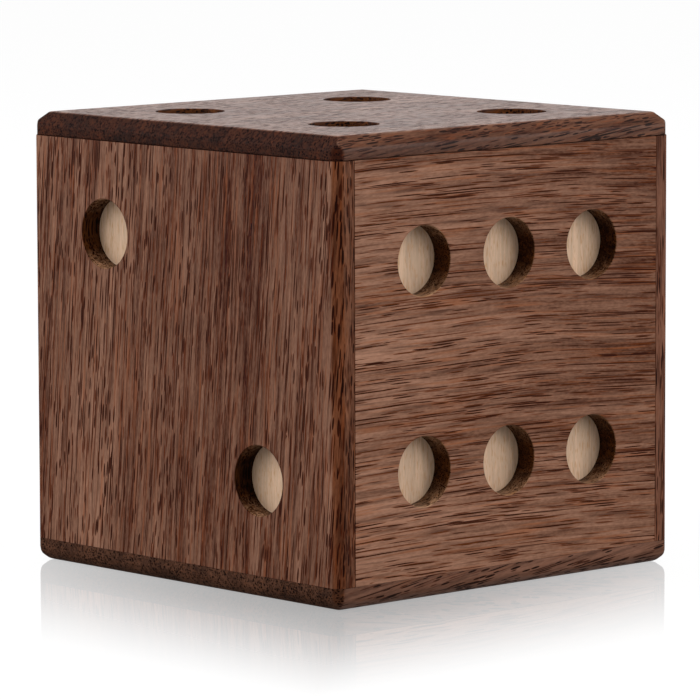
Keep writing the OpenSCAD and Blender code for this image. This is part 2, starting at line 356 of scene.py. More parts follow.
def grain_vector(put, order, slope=0.0, dive=0.0):
    """Object coordinates in millimetres from the middle of the cube, with the grain along X.
    The grain can slope across the board's face and dive into it, in degrees."""
    place = put("TexCoord").outputs["Object"]
    place = put("VectorMath", (place, (0, 0, HEIGHT / 2)), "SUBTRACT")
    parts = put("SeparateXYZ", (place,)).outputs
    turned = put("CombineXYZ", {i: parts[axis] for i, axis in enumerate(order)})
    return put("Mapping", {
        "Vector": turned, "Rotation": (0, math.radians(dive), math.radians(slope)),
        "Scale": (1 / MM, 1 / MM, 1 / MM)})


# Palettes of walnut, in the order of PALETTE
FLAT_SAWN = ("#8e6753", "#502e20", "#884b2b", "#642c10", "#2e0c00")
BOARD_EDGE = ("#6f4936", "#3c2014", "#6f3a1e", "#4a2010", "#1c0903")
END_GRAIN = ("#46200c", "#1a0702", "#521e06", "#300e03", "#0a0100")
# The first of the two pip-wall palettes below is painted light: a lit copy of the wall, which the upright
# boards give to the pip walls that face up or down. The second is the cutter's burn, darkened further as
# painted shade
BORE_PAINTED_LIT = ("#cda07c", "#643e24", "#b87c48", "#7a4522", "#2a1004")
BORE_BURN_AND_PAINTED_SHADE = ("#6a3c1a", "#240e04", "#743c0e", "#441a06", "#0e0300")
# Redder tint of the bevelled upright corners, and the bore_wall mark of a pip's wall at its mouth
CORNER_SHADE = (1.0, 0.82, 0.66)
BORE_MOUTH = 0.35
# Heights of the pores and of the lines in bare wood, for the bump
PORE_DEPTH = 0.06 * MM
LINE_DEPTH = 0.04 * MM


def walnut(name, order, seed, face=FLAT_SAWN, edge=BOARD_EDGE, end=END_GRAIN, bore=BORE_PAINTED_LIT,
           bore_end=BORE_BURN_AND_PAINTED_SHADE, slope=0.0, dive=0.0, gloss=0.065, satin=0.36, **figure):
    """American black walnut, planed, sanded and oiled: satin, with open dark pores and dull end grain; the
    walls of its pips carry painted light and painted shade.
    """
    material, put = new_material(name)
    vector = grain_vector(put, order, slope, dive)
    # Which way the surface faces: end grain drinks more oil, and the board's edge is cut from other rings
    normal = put("TexCoord").outputs["Normal"]
    sides = put("SeparateXYZ", (normal,)).outputs
    ends = put("Math", (sides[order[0]],), "ABSOLUTE")
    across = put("Math", (sides[order[1]],), "ABSOLUTE")
    bore_ends = put("MapRange", (ends, 0.5, 0.95))
    ends = put("MapRange", (ends, 0.25, 0.6), interpolation_type="SMOOTHSTEP")
    across = put("MapRange", (across, 0.3, 0.75))
    # A pip's wall takes the two pip-wall palettes: painted light on some walls, and the cutter's burn with
    # painted shade on the others
    sunk = put("Attribute", attribute_name="bore_wall").outputs["Fac"]
    inside = put("MapRange", (sunk, 0.0, BORE_MOUTH))
    tones = {}
    for key, *codes in zip(PALETTE, face, edge, end, bore, bore_end):
        tone, on_edge, on_end, wall, wall_end = (linear(code) for code in codes)
        wall = put("Mix", {0: bore_ends, 6: wall, 7: wall_end}, data_type="RGBA").outputs[2]
        for share, other in ((across, on_edge), (ends, on_end), (inside, wall)):
            tone = put("Mix", {0: share, 6: tone, 7: other}, data_type="RGBA").outputs[2]
        tones[key] = tone
    wood = put("Group", {"Grain": vector, "Seed": seed, **tones, **figure}, node_tree=wood_group())
    color = wood.outputs["Color"]
    # Painted shade in the pips: the wall is darkened the deeper it goes, to 0.38 of its colour at the lining
    deep = put("MapRange", (sunk, 0.2, 1.0, 1.0, 0.38))
    color = put("VectorMath", {0: color, "Scale": deep}, "SCALE")
    # A bevelled upright corner shows the redder rings that lie under the face
    turned = put("Math", (sides[0], sides[1]), "MULTIPLY")
    turned = put("Math", (turned,), "ABSOLUTE")
    turned = put("MapRange", (turned, 0.25, 0.42))
    turned = put("Math", (turned, inside), "SUBTRACT", use_clamp=True)
    shaded = put("VectorMath", (color, CORNER_SHADE), "MULTIPLY")
    color = put("Mix", {0: turned, 6: color, 7: shaded}, data_type="RGBA").outputs[2]
    tint = tuple(colours().walnut_tint)[:3]
    color = put("VectorMath", (color, tint), "MULTIPLY")
    # Pores and end grain are duller than the sanded face
    rough = put("MapRange", (wood.outputs["Pores"], 0.0, 1.0, satin, satin + 0.24))
    rough = put("Math", (ends, 0.35, rough), "MULTIPLY_ADD", use_clamp=True)
    bump = put("Bump", {"Height": wood.outputs["Height"], "Strength": 0.35, "Distance": PORE_DEPTH})
    shader = put("BsdfPrincipled", {
        "Base Color": color, "Roughness": rough, "Normal": bump, "IOR": 1.45,
        "Specular IOR Level": gloss})
    put("OutputMaterial", (shader,))
    return material


def maple(name, order, seed):
    """Pale hard maple, sanded and left bare: close grained, with fine upright lines and small flecks."""
    material, put = new_material(name)
    vector = grain_vector(put, order)
    vector = put("VectorMath", (vector, seed), "ADD")
    fine = streaks(put, vector, 9, 0.7, 4.0, 0.7)
    soft = streaks(put, vector, 60, 5)
    fleck = streaks(put, vector, 2.4, 0.32, 1.0)
    lines = put("MapRange", (fine, *NOISE_RANGE, 0.8, 1.14))
    cloud = put("MapRange", (soft, *NOISE_RANGE, 0.82, 1.08))
    tone = put("Math", (lines, cloud), "MULTIPLY")
    color = put("VectorMath", {0: tuple(colours().maple)[:3], "Scale": tone}, "SCALE")
    spots = put("MapRange", (fleck, 0.56, 0.72, 0.0, 0.7))
    color = put("Mix", {0: spots, 6: color, 7: linear("#b98550")}, data_type="RGBA").outputs[2]
    bump = put("Bump", {"Height": fine, "Strength": 0.2, "Distance": LINE_DEPTH})
    shader = put("BsdfPrincipled", {
        "Base Color": color, "Roughness": 0.62, "Normal": bump, "IOR": 1.45})
    put("OutputMaterial", (shader,))
    return material


def brass(name):
    """Solid brass, milled and polished by hand: warm and bright, with faint rubbing marks along the hinge."""
    material, put = new_material(name)
    vector = grain_vector(put, GRAIN_ALONG_X_FLAT)
    rub = streaks(put, vector, 9, 0.3, 3.0)
    stain = streaks(put, vector, 4, 4, 3.0)
    dull = put("MapRange", (stain, 0.4, 0.7, 1.0, 0.78))
    color = put("VectorMath", {0: tuple(colours().brass)[:3], "Scale": dull}, "SCALE")
    rough = put("MapRange", (rub, *NOISE_RANGE, 0.2, 0.32))
    bump = put("Bump", {"Height": rub, "Strength": 0.06, "Distance": 0.01 * MM})
    shader = put("BsdfPrincipled", {
        "Base Color": color, "Roughness": rough, "Metallic": 1.0, "Normal": bump})
    put("OutputMaterial", (shader,))
    return material


def nickel(name):
    """Nickel plate on a pressed magnet: bright grey, a little clouded by handling."""
    material, put = new_material(name)
    vector = grain_vector(put, GRAIN_ALONG_X_FLAT)
    cloud = put("TexNoise", {"Vector": vector, "Scale": 0.9, "Detail": 4.0})
    rough = put("MapRange", (cloud, *NOISE_RANGE, 0.18, 0.36))
    shade = put("MapRange", (cloud, *NOISE_RANGE, 0.85, 1.0))
    color = put("VectorMath", {0: linear("#c9cacd")[:3], "Scale": shade}, "SCALE")
    shader = put("BsdfPrincipled", {"Base Color": color, "Roughness": rough, "Metallic": 1.0})
    put("OutputMaterial", (shader,))
    return material


# Mesh helpers

# Angles between faces above which an edge is rounded, and shown as sharp
SOFTENED_OVER = math.radians(40)
SHARP_OVER = math.radians(38)
# Parts of a unit normal that tell a bevel from a flat face, and a face that looks along an axis
TILTED = 0.3
SQUARE_ON = 0.9


def helper(name, bm):
    """An object at the origin with the mesh and no material; one that only feeds a modifier is removed."""
    mesh = bpy.data.meshes.new(name)
    bm.to_mesh(mesh)
    bm.free()
    tool = bpy.data.objects.new(name, mesh)
    bpy.context.scene.collection.objects.link(tool)
    return tool


def new_piece(name, bm, material):
    """An object at the origin with the material, its faces turned outwards."""
    bmesh.ops.recalc_face_normals(bm, faces=bm.faces)
    piece = helper(name, bm)
    piece.data.materials.append(material)
    return piece


def plain(piece):
    """Turns the modified object into a plain mesh and drops its modifiers."""
    bpy.context.view_layer.update()
    graph = bpy.context.evaluated_depsgraph_get()
    shown = piece.evaluated_get(graph)
    mesh = bpy.data.meshes.new_from_object(shown, preserve_all_data_layers=True, depsgraph=graph)
    mesh.name = piece.name
    piece.modifiers.clear()
    piece.data = mesh
    return piece


def soften(piece, width):
    """Small rounding of every sharp edge."""
    edge = piece.modifiers.new("soften", "BEVEL")
    edge.limit_method = "ANGLE"
    edge.angle_limit = SOFTENED_OVER
    edge.width = width
    edge.segments = 2
    plain(piece)


def even_normals(piece):
    """Smooth shading that keeps the flat faces flat and the sharp edges sharp."""
    piece.data.polygons.foreach_set("use_smooth", [True] * len(piece.data.polygons))
    piece.data.set_sharp_from_angle(angle=SHARP_OVER)
    weigh = piece.modifiers.new("even_normals", "WEIGHTED_NORMAL")
    weigh.keep_sharp = True
    weigh.weight = 100
    return plain(piece)


def dress(piece, node):
    """Puts a finished piece in a node's place, on that node's body."""
    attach(piece, BODY_OF[node])
    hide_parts(node)


def block(low, high):
    """A box between two corners."""
    bm = bmesh.new()
    bmesh.ops.create_cube(bm, size=1.0)
    for v in bm.verts:
        v.co = Vector(low[i] if v.co[i] < 0 else high[i] for i in range(3))
    return bm


def cut(bm, point, normal):
    """Planes one side off a convex block and closes it."""
    point = Vector(point)
    normal = Vector(normal).normalized()
    if all((v.co - point).dot(normal) < TOUCHING for v in bm.verts):
        return
    geometry = bm.verts[:] + bm.edges[:] + bm.faces[:]
    made = bmesh.ops.bisect_plane(
        bm, geom=geometry, plane_co=point, plane_no=normal, clear_outer=True, dist=TOUCHING)
    edges = [e for e in made["geom_cut"] if isinstance(e, bmesh.types.BMEdge)]
    bmesh.ops.edgeloop_fill(bm, edges=edges)


def bevelled_board(low, high, width, depth):
    """A board cut out of the cube, with the cube's bevels on it and a weight on each edge for rounding."""
    s = sizes()
    bm = block(low, high)
    for a in (-1, 1):
        for bevel, z, up in ((s.top_bevel, HEIGHT, 1), (s.bottom_bevel, 0, -1)):
            cut(bm, (a * (width / 2 - bevel), 0, z), (a, 0, up))
            cut(bm, (0, a * (depth / 2 - bevel), z), (0, a, up))
        for b in (-1, 1):
            cut(bm, (a * (width / 2 - s.corner_bevel), b * depth / 2, 0), (a, b, 0))
    bm.normal_update()
    weight = bm.edges.layers.float.new("bevel_weight_edge")
    widest = max(s.arris, s.foot_round)
    for e in bm.edges:
        outside = all(is_outside(f, width, depth) for f in e.link_faces)
        foot = max(v.co.z for v in e.verts) < s.bottom_bevel + ON_PLANE
        e[weight] = (s.foot_round if foot else s.arris) / widest * (1.0 if outside else s.joint_share)
    return bm


def is_outside(face, width, depth):
    """True where a face is on the outside of the cube and not in a joint."""
    n = face.normal
    c = face.calc_center_median()
    if sum(abs(v) > TILTED for v in n) > 1:
        return True
    reach = ((width / 2, c.x), (depth / 2, c.y))
    for axis, (half, at) in enumerate(reach):
        if abs(n[axis]) > SQUARE_ON:
            return abs(abs(at) - half) < ON_PLANE
    return abs(c.z) < ON_PLANE or abs(c.z - HEIGHT) < ON_PLANE


# Pips

def pip_places(kind):
    """Middles of the pips of one face, across and up."""
    s = sizes()
    pair = [(s.pip_across, s.pip_rise), (-s.pip_across, -s.pip_rise)]
    other = [(-x, y) for x, y in pair]
    slant = [(s.pip_across, s.pip_across), (-s.pip_across, -s.pip_across)]
    return {
        1: [(0, 0)],
        2: other,
        3: [(0, 0), *slant],
        4: [(a * s.pip_across, u * s.pip_across) for a in (-1, 1) for u in (-1, 1)],
        5: [(0, 0), *pair, *other],
        6: [(a * s.pip_across, u * s.six_rise) for a in (-1, 0, 1) for u in (-1, 1)],
    }[kind]


def face_matrix(side):
    """Places a flat layout on a side of the cube, its own Z pointing out."""
    middle = HEIGHT / 2
    turned = {
        "front": ((1, 0, 0), (0, 0, 1), (0, -DEPTH / 2, middle)),
        "back": ((-1, 0, 0), (0, 0, 1), (0, DEPTH / 2, middle)),
        "left": ((0, -1, 0), (0, 0, 1), (-WIDTH / 2, 0, middle)),
        "right": ((0, 1, 0), (0, 0, 1), (WIDTH / 2, 0, middle)),
        "top": ((1, 0, 0), (0, 1, 0), (0, 0, HEIGHT)),
        "bottom": ((1, 0, 0), (0, -1, 0), (0, 0, 0)),
    }[side]
    across, up, origin = (Vector(v) for v in turned)
    out = across.cross(up)
    m = Matrix((across, up, out)).transposed().to_4x4()
    m.translation = origin
    return m


def hardware_group(boring):
    """Geometry nodes that bore a hole, or set a copy of a piece, at each point of a layout."""
    name = "bored_holes" if boring else "set_hardware"
    if name in bpy.data.node_groups:
        return bpy.data.node_groups[name]
    tree = bpy.data.node_groups.new(name, "GeometryNodeTree")
    put = partial(add, tree)
    face = tree.interface
    face.new_socket("Geometry", in_out="OUTPUT", socket_type="NodeSocketGeometry")
    inputs = (("Geometry", "Geometry"), ("Piece", "Object"), ("Turn", "Rotation"), ("Material", "Material"),
              ("Layout", "Object"))
    for key, kind in inputs:
        face.new_socket(key, in_out="INPUT", socket_type="NodeSocket" + kind)
    given = put("NodeGroupInput").outputs
    layout = put("GeometryNodeObjectInfo", {"Object": given["Layout"]}).outputs["Geometry"]
    piece = put("GeometryNodeObjectInfo", {"Object": given["Piece"]}).outputs["Geometry"]
    spread = put("GeometryNodeInstanceOnPoints", {
        "Points": layout, "Instance": piece, "Rotation": given["Turn"]})
    result = put("GeometryNodeRealizeInstances", (spread,))
    if boring:
        bored = put("GeometryNodeMeshBoolean", {"Mesh 1": given["Geometry"], "Mesh 2": result},
                    operation="DIFFERENCE", solver="EXACT")
        result = put("GeometryNodeRealizeInstances", (bored.outputs["Mesh"],))
    finish = put("GeometryNodeSetMaterial", {"Geometry": result, "Material": given["Material"]})
    put("NodeGroupOutput", (finish,))
    return tree


def at_points(board, places, piece, turn, material, boring=True):
    """Bores the board, or fills it with copies of the piece, at each place."""
    points = bmesh.new()
    for place in places:
        points.verts.new(place)
    layout = helper(board.name + "_layout", points)
    copied = helper(board.name + "_copied", piece)
    step = board.modifiers.new("holes", "NODES")
    step.node_group = hardware_group(boring)
    sockets = step.node_group.interface.items_tree
    inputs = {socket.name: socket.identifier for socket in sockets if socket.in_out == "INPUT"}
    for key, value in (("Piece", copied), ("Turn", turn), ("Material", material), ("Layout", layout)):
        step[inputs[key]] = value
    plain(board)
    remove(layout, copied)


def carve(piece, tools, operation="DIFFERENCE"):
    """Cuts the closed meshes out of the piece, or joins them on to it."""
    helpers = [helper(piece.name + "_tool", tool) for tool in tools]
    for tool in helpers:
        step = piece.modifiers.new("carve", "BOOLEAN")
        step.operation = operation
        step.solver = "EXACT"
        step.object = tool
    plain(piece)
    remove(*helpers)


def loop(bm, radii, z):
    """Points round Z, one for each radius, or a single point where they are all 0."""
    if not any(radii):
        return [bm.verts.new((0, 0, z))]
    turns = (math.tau * k / len(radii) for k in range(len(radii)))
    return [bm.verts.new((r * math.cos(t), r * math.sin(t), z)) for r, t in zip(radii, turns)]


def skin(bm, loops):
    """Faces between each loop of points and the next."""
    for below, above in zip(loops, loops[1:]):
        sides = max(len(below), len(above))
        for k in range(sides):
            n = (k + 1) % sides
            if len(below) == 1:
                bm.faces.new((below[0], above[n], above[k]))
            elif len(above) == 1:
                bm.faces.new((below[k], below[n], above[0]))
            else:
                bm.faces.new((below[k], below[n], above[n], above[k]))


def lathe(profile, sides):
    """A closed solid turned about Z from (radius, height) pairs that start and end on the axis."""
    bm = bmesh.new()
    skin(bm, [loop(bm, [radius] * sides, z) for radius, z in profile])
    return bm


def pip_cutter(thickness):
    """The bit that bores a pip: a cylinder that flares in a quarter round where the mouth is sanded."""
    s = sizes()
    r = s.pip_diameter / 2
    m = s.mouth_round
    flare = [(r, -m), (r + 0.08 * m, -0.62 * m), (r + 0.3 * m, -0.3 * m), (r + 0.62 * m, -0.08 * m)]
    clear = r + 1.5 * m
    foot = -thickness - 2 * PAST
    profile = [(0, foot), (r, foot), *flare, (clear, 0.22 * m), (clear, 2 * PAST), (0, 2 * PAST)]
    return lathe(profile, BORE_SIDES)


def remove(*tools):
    """Deletes helpers together with their meshes."""
    for tool in tools:
        mesh = tool.data
        bpy.data.objects.remove(tool)
        bpy.data.meshes.remove(mesh)


def mark_bores(piece, side, kind, thickness):
    """Writes how deep in a pip each point is: 0 on the face, BORE_MOUTH just inside, 1 at the lining."""
    to_face = face_matrix(side).inverted()
    r = sizes().pip_diameter / 2
    mouth = sizes().mouth_round
    places = pip_places(kind)
    marks = piece.data.attributes.new("bore_wall", "FLOAT", "POINT")
    values = []
    for v in piece.data.vertices:
        p = to_face @ v.co
        near = min(math.hypot(p.x - x, p.y - y) for x, y in places)
        inside = near < r + 0.5 * mouth and p.z < -0.1 * mouth
        values.append(max(BORE_MOUTH, min(1.0, -p.z / thickness)) if inside else 0.0)
    marks.data.foreach_set("value", values)


# Turns of the pieces and cutters that are set at points
UPRIGHT = (0, 0, 0)
UPSIDE_DOWN = (math.pi, 0, 0)


def bored_board(node, side, kind, thickness, material):
    """A walnut board with its bevels, sanded edges and pips, and the seats of its hardware."""
    lid = node == "lid_board"
    low, high = (corner.copy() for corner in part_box(node))
    width, depth = (high.x - low.x, high.y - low.y) if lid else (WIDTH, DEPTH)
    if lid:
        low.z -= LID_SEAT
    board = new_piece(node + "_walnut", bevelled_board(low, high, width, depth), material)
    arris = board.modifiers.new("arris", "BEVEL")
    arris.limit_method = "WEIGHT"
    arris.width = max(sizes().arris, sizes().foot_round)
    arris.segments = 3
    plain(board)
    to_world = face_matrix(side)
    places = [to_world @ Vector((x, y, 0)) for x, y in pip_places(kind)]
    at_points(board, places, pip_cutter(thickness), to_world.to_euler(), material)
    if lid or node == "back_board":
        carve(board, leaf_recesses(lid))
        foot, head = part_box("lid_screws" if lid else "wall_screws")
        hole = round_bar(sizes().screw_shank, -(head.z - foot.z), 0)
        places = [(x, y, leaf_level(lid)) for x, y in screw_places()]
        at_points(board, places, hole, UPSIDE_DOWN if lid else UPRIGHT, material)
    if lid or node == "front_board":
        foot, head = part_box("lid_magnets" if lid else "wall_magnets")
        pocket = round_bar(magnet_radius() + LET_IN, foot.z - LET_IN, head.z + LET_IN)
        at_points(board, magnet_places(), pocket, UPRIGHT, material)
    return board


# Hinges, screws and magnets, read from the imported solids
HINGE_SIDES = ("left", "right")
# Play of the lid's knuckle on the pin; a stop shoulder's gap to the wall, inset from each end and share of
# the leaf's thickness
PIN_ROOM = 0.05 * MM
SHOULDER_SHORT = 0.05 * MM
SHOULDER_INSET = 0.2 * MM
SHOULDER_THICK = 0.85
# Rounding of a pin's ends as a share of its radius, and of the metal's and the panels' edges
PIN_END = 0.45
PIN_STEPS = 4
SOFT_METAL = 0.12 * MM
SOFT_PANEL = 0.2 * MM
MAGNET_EDGE = 0.25 * MM
# A screw's root and point as shares of the shank's radius, steps in one turn of thread, neck, rim and slot
THREAD_ROOT = 0.72
SCREW_POINT = 2.2
THREAD_STEPS = 6
BARE_NECK = 1.2 * MM
HEAD_EASE = 0.08 * MM
SLOT_WIDTH = 0.5 * MM
SLOT_DEPTH = 0.45 * MM


def leaf_level(lid):
    """Height of the face of a leaf that closes on the other."""
    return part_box("lid_board")[0].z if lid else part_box("back_board")[1].z


def leaf_box(side, lid):
    """Corners of a leaf without its knuckles."""
    low, high = (corner.copy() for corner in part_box(f"{side}_hinge_{'lid' if lid else 'box'}_leaf"))
    level = leaf_level(lid)
    low.z = level if lid else level - sizes().leaf
    high.z = level + sizes().leaf if lid else level
    high.y = DEPTH / 2
    return low, high


def leaf_recesses(lid):
    """Cutters for the seats of both leaves, open to the joint and to the back."""
    tools = []
    for side in HINGE_SIDES:
        low, high = leaf_box(side, lid)
        low -= Vector((LET_IN, LET_IN, PAST if lid else 0))
        high += Vector((LET_IN, PAST, 0 if lid else PAST))
        tools.append(block(low, high))
    return tools


def screw_places():
    """Middles of the four screws, seen from above."""
    wall_middle = (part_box("back_board")[0].y + DEPTH / 2) / 2
    places = []
    for side in HINGE_SIDES:
        low, high = leaf_box(side, False)
        middle = (low.x + high.x) / 2
        places += [(middle + end * sizes().screw_pitch / 2, wall_middle) for end in (-1, 1)]
    return places


def magnet_radius():
    """Radius of a catch magnet."""
    low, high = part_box("wall_magnets")
    return (high.y - low.y) / 2


def magnet_places(z=0):
    """Middles of the magnets, at a height."""
    low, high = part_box("wall_magnets")
    r = magnet_radius()
    return [(x, (low.y + high.y) / 2, z) for x in (low.x + r, high.x - r)]


def round_bar(radius, low, high, sides=METAL_SIDES):
    """A cylinder about Z."""
    return lathe([(0, low), (radius, low), (radius, high), (0, high)], sides)


def even_ended(foot, half):
    """A turned bar about Z from the profile of its foot, with the same profile at its head."""
    head = [(radius, -z) for radius, z in reversed(foot)]
    return lathe([(0, -half), *foot, *head, (0, half)], METAL_SIDES)


# Each board: its face and pips, thickness, grain, place in the log, and its own figure
BOARDS = [
    ("front_board", "front", 6, WALL, GRAIN_ALONG_X, (11.0, 40.0, 5.0), {
        "face": ("#9d735d", "#5f3c2b", "#92532e", "#70340e", "#300d00"),
        "slope": 1.0, "Band contrast": 0.6, "Curve": 0.0004, "Stripe contrast": 0.6,
        "Pore length": 13.0, "Pore width": 0.6, "Pore size": 0.345, "Pore density": 0.75,
        "Line length": 32.0, "Line width": 0.7, "Line size": 0.325, "Line density": 0.85,
        "Fall along": -0.0045, "Fall across": -0.0027}),
    ("back_board", "back", 1, WALL, GRAIN_ALONG_X, (310.0, 140.0, 25.0), {
        "slope": 2.0, "Curve": -0.0003, "Wave": 4.0, "Pore length": 8.0, "Line length": 22.0}),
    ("left_board", "left", 2, WALL, GRAIN_UP, (60.0, 210.0, 90.0), {
        "edge": ("#84563e", "#48281a", "#7e431e", "#56240c", "#200800"),
        "bore": BORE_BURN_AND_PAINTED_SHADE, "bore_end": BORE_PAINTED_LIT,
        "slope": 5.0, "Fall across": 0.002, "Fibre contrast": 0.45,
        "Pore length": 6.5, "Pore width": 0.85, "Pore size": 0.42,
        "Line length": 16.0, "Line width": 0.72, "Line size": 0.4, "Line density": 0.75}),
    ("right_board", "right", 5, WALL, GRAIN_UP, (160.0, 310.0, 190.0), {
        "edge": ("#805643", "#553223", "#784429", "#582a16", "#240c04"),
        "bore": BORE_BURN_AND_PAINTED_SHADE, "bore_end": BORE_PAINTED_LIT, "slope": -2.0}),
    ("bottom_board", "bottom", 3, BASE, GRAIN_ALONG_X_FLAT, (510.0, 15.0, 290.0), {
        "edge": ("#7d5847", "#4b3025", "#764a32", "#5a301e", "#200e07"),
        "end": ("#5c3c2c", "#342017", "#5e3822", "#3c2214", "#140804"),
        "dive": 8.0, "Pore length": 5.0, "Line length": 14.0, "Shadow contrast": 0.4}),
    ("lid_board", "top", 4, LID, GRAIN_ALONG_X_FLAT, (410.0, 75.0, 250.0), {
        "dive": 7.0, "gloss": 0.12, "satin": 0.3, "bore": BORE_BURN_AND_PAINTED_SHADE,
        "Pore length": 4.0, "Line length": 9.0, "Shadow contrast": 0.4}),
]


class DICE_BOX_OT_walnut(bpy.types.Operator):
    """Makes the six bored walnut boards"""
    bl_idname = "dice_box.walnut"
    bl_label = "Walnut boards"

    def execute(self, context):
        for node, side, kind, thickness, order, seed, figure in BOARDS:
            material = walnut(node + "_walnut", order, seed, **figure)
            board = bored_board(node, side, kind, thickness, material)
            even_normals(board)
            mark_bores(board, side, kind, thickness)
            dress(board, node)
        return {"FINISHED"}


class DICE_BOX_OT_lining(bpy.types.Operator):
    """Makes the pale lining panels"""
    bl_idname = "dice_box.lining"
    bl_label = "Maple lining"

    def execute(self, context):
        panels = [
            ("front_lining", GRAIN_UP, (7.0, 3.0, 40.0)),
            ("back_lining", GRAIN_UP, (97.0, 33.0, 80.0)),
            ("left_lining", GRAIN_UP, (47.0, 63.0, 10.0)),
            ("right_lining", GRAIN_UP, (67.0, 93.0, 60.0)),
            ("floor_lining", GRAIN_ALONG_X_FLAT, (17.0, 23.0, 30.0)),
            ("lid_lining", GRAIN_ALONG_X_FLAT, (27.0, 13.0, 20.0)),
        ]
        for node, order, seed in panels:
            low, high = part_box(node)
            bm = block(low, high)
            if node == "lid_lining":
                ease = sizes().lid_ease
                for a in (-1, 1):
                    cut(bm, (a * (high.x - ease), 0, low.z), (a, 0, -1))
                    cut(bm, (0, a * (high.y - ease), low.z), (0, a, -1))
            panel = new_piece(node + "_maple", bm, maple("maple_" + node, order, seed))
            if node == "back_lining":
                carve(panel, leaf_recesses(False))
            soften(panel, SOFT_PANEL)
            even_normals(panel)
            dress(panel, node)
        return {"FINISHED"}


def knuckle_bar(radius, length, middle):
    """A bar along the hinge's axis."""
    bar = round_bar(radius, -length / 2, length / 2, KNUCKLE_SIDES)
    bar.transform(Matrix.Translation((middle, 0, 0)) @ Matrix.Rotation(math.pi / 2, 4, "Y"))
    return bar


def leaf_slices(lid, length):
    """Middle and length of each knuckle of a leaf, along the hinge."""
    s = sizes()
    if lid:
        return [(0, s.middle_knuckle)]
    outer = (length - s.middle_knuckle) / 2 - s.knuckle_gap
    return [(end * (length - outer) / 2, outer) for end in (-1, 1)]


def hinge_leaf(side, lid, material):
    """A leaf with its rolled knuckles, squared stop shoulders, pin bore and countersunk holes."""
    s = sizes()
    low, high = leaf_box(side, lid)
    length = high.x - low.x
    middle = (low.x + high.x) / 2
    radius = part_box(f"{side}_hinge_box_leaf")[1].y - HINGE.y
    notch = HINGE.y - DEPTH / 2
    half_gap = HINGE.z - leaf_level(False)
    top = -half_gap
    foot = top - s.leaf
    plate = block((-length / 2, low.y - HINGE.y, foot), (length / 2, -notch, top))
    added = []
    for at, span in leaf_slices(lid, length):
        near, far = at - span / 2, at + span / 2
        added.append(knuckle_bar(radius, span, at))
        added.append(block((near, -notch - s.leaf, foot), (far, 0, top)))
        shoulder = block((near + SHOULDER_INSET, 0, 0),
                         (far - SHOULDER_INSET, SHOULDER_THICK * s.leaf, notch - SHOULDER_SHORT))
        shoulder.transform(Matrix.Rotation(math.pi / 2 - s.stop_angle, 4, "X"))
        added.append(shoulder)
    leaf = new_piece(f"{side}_hinge_{'lid' if lid else 'box'}_leaf_brass", plate, material)
    carve(leaf, added, "UNION")
    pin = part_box(f"{side}_hinge_pin")
    bore = (pin[1].z - pin[0].z) / 2 + (PIN_ROOM if lid else LET_IN)
    carve(leaf, [knuckle_bar(bore, length + 2 * PAST, 0)])
    shank = s.screw_shank + LET_IN
    head = s.screw_head + LET_IN
    under = -s.leaf - PAST
    sink = s.screw_head - s.screw_shank
    hole = [(0, under), (shank, under), (shank, -sink), (head, 0), (head, PAST), (0, PAST)]
    places = [(x - middle, y - HINGE.y, top) for x, y in screw_places() if low.x < x < high.x]
    at_points(leaf, places, lathe(hole, METAL_SIDES), UPRIGHT, material)
    soften(leaf, SOFT_METAL)
    turn = Matrix.Diagonal((1, 1, -1 if lid else 1, 1))
    leaf.data.transform(Matrix.Translation((middle, HINGE.y, HINGE.z)) @ turn)
    if lid:
        leaf.data.flip_normals()
    return even_normals(leaf)


def hinge_pin(side, material):
    """A pin with rounded ends."""
    low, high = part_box(side + "_hinge_pin")
    radius = (high.z - low.z) / 2
    half = (high.x - low.x) / 2
    steps = [math.pi / 2 * k / PIN_STEPS for k in range(PIN_STEPS + 1)]
    ease = PIN_END * radius
    foot = [(radius - ease + ease * math.sin(t), -half + ease - ease * math.cos(t)) for t in steps]
    bar = even_ended(foot, half)
    middle = Vector(((low.x + high.x) / 2, HINGE.y, HINGE.z))
    bar.transform(Matrix.Translation(middle) @ Matrix.Rotation(math.pi / 2, 4, "Y"))
    return even_normals(new_piece(side + "_hinge_pin_brass", bar, material))


def threaded_screw(length):
    """A countersunk slotted wood screw, its head at the top and a helical thread down to its point."""
    s = sizes()
    crest = s.screw_shank
    root = THREAD_ROOT * crest
    sink = s.screw_head - crest
    step = s.thread / THREAD_STEPS
    bm = bmesh.new()
    loops = [loop(bm, [0], -length)]
    for k in range(1, int((length - sink) / step)):
        z = -length + k * step
        taper = min(1, k * step / (SCREW_POINT * crest))
        waves = (1 - abs(2 * ((z / s.thread - j / SCREW_SIDES) % 1) - 1) for j in range(SCREW_SIDES))
        radii = [taper * (root + (crest - root) * wave ** 2) for wave in waves]
        if z > -sink - BARE_NECK:
            radii = [crest] * SCREW_SIDES
        loops.append(loop(bm, radii, z))
    rim = s.screw_head - HEAD_EASE
    for radius, z in ((crest, -sink), (rim, -HEAD_EASE), (rim, 0)):
        loops.append(loop(bm, [radius] * SCREW_SIDES, z))
    skin(bm, loops)
    bm.faces.new(loops[-1])
    bmesh.ops.recalc_face_normals(bm, faces=bm.faces)
    screw = helper("screw", bm)
    carve(screw, [block((-3 * PAST, -SLOT_WIDTH / 2, -SLOT_DEPTH), (3 * PAST, SLOT_WIDTH / 2, PAST))])
    slotted = bmesh.new()
    slotted.from_mesh(screw.data)
    remove(screw)
    return slotted


class DICE_BOX_OT_hinges(bpy.types.Operator):
    """Makes the two brass stop hinges"""
    bl_idname = "dice_box.hinges"
    bl_label = "Brass hinges"

    def execute(self, context):
        metal = brass("polished_brass")
        for side in HINGE_SIDES:
            dress(hinge_leaf(side, False, metal), side + "_hinge_box_leaf")
            dress(hinge_leaf(side, True, metal), side + "_hinge_lid_leaf")
            dress(hinge_pin(side, metal), side + "_hinge_pin")
        return {"FINISHED"}


